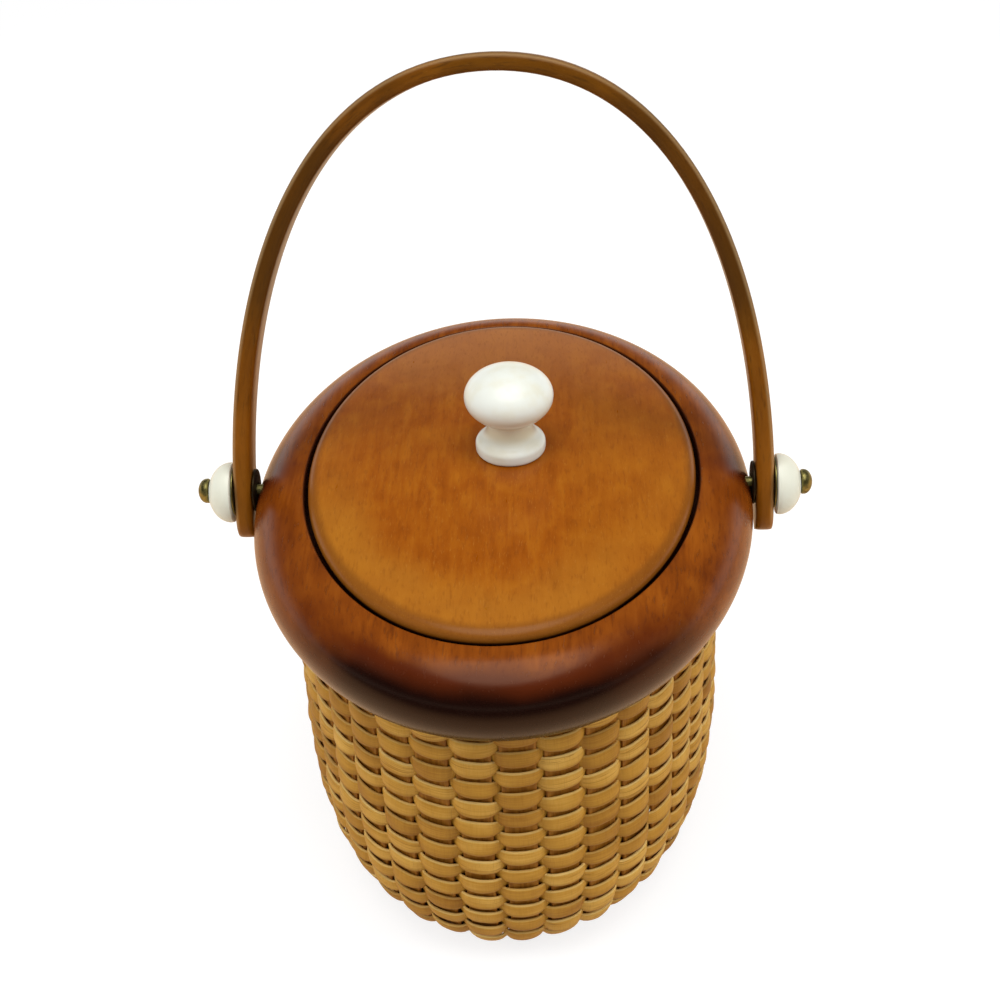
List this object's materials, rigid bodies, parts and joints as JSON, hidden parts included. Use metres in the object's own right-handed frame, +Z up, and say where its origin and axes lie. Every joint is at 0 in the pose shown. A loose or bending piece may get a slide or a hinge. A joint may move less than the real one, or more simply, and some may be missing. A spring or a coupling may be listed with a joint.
{
  "type": "lightship basket",
  "caption": "Oval woven basket on staves with a wooden base and collar, a domed lift-off lid with a white knob, and a bent strip handle that swings on pins.",
  "frame": {"origin": "centre of the underside of the base, on the surface the basket stands on", "axes": "+Z up along the basket's middle line, +X along the handle's pins, -Y towards the viewer of the picture"},
  "size_m": [0.228, 0.245, 0.2928],
  "materials": {
    "collar_wood": "varnished, satin gloss",
    "lid_wood": "varnished, satin gloss",
    "handle_wood": "varnished, satin",
    "stave": "bare, matt",
    "weave": "bare cane, low sheen",
    "white_knob": "polished",
    "white_boss": "polished",
    "brass": "aged, soft polish"
  },
  "bodies": {
    "basket": {"base": "collar_wood", "stave_01": "stave", "stave_02": "stave", "stave_03": "stave", "stave_04": "stave", "stave_05": "stave", "stave_06": "stave", "stave_07": "stave", "stave_08": "stave", "stave_09": "stave", "stave_10": "stave", "stave_11": "stave", "stave_12": "stave", "stave_13": "stave", "stave_14": "stave", "stave_15": "stave", "stave_16": "stave", "stave_17": "stave", "stave_18": "stave", "stave_19": "stave", "stave_20": "stave", "stave_21": "stave", "stave_22": "stave", "stave_23": "stave", "stave_24": "stave", "stave_25": "stave", "stave_26": "stave", "stave_27": "stave", "stave_28": "stave", "stave_29": "stave", "stave_30": "stave", "stave_31": "stave", "stave_32": "stave", "stave_33": "stave", "stave_34": "stave", "stave_35": "stave", "stave_36": "stave", "stave_37": "stave", "stave_38": "stave", "stave_39": "stave", "woven_wall": "weave", "collar": "collar_wood", "spacer_right": "brass", "boss_washer_right": "brass", "boss_right": "white_boss", "pivot_pin_right": "brass", "spacer_left": "brass", "boss_washer_left": "brass", "boss_left": "white_boss", "pivot_pin_left": "brass"},
    "lid": {"lid": "lid_wood", "knob": "white_knob", "knob_screw": "brass"},
    "handle": {"handle": "handle_wood"}
  },
  "joints": [
    {"name": "handle_swing", "type": "hinge", "parent": "basket", "child": "handle", "pos_m": [0, 0, 0.1437], "axis": [1, 0, 0], "range_deg": [-107, 147]},
    {"name": "lid_lift", "type": "slide", "parent": "basket", "child": "lid", "axis": [0, 0, 1], "range_m": [0, 0.07]}
  ]
}
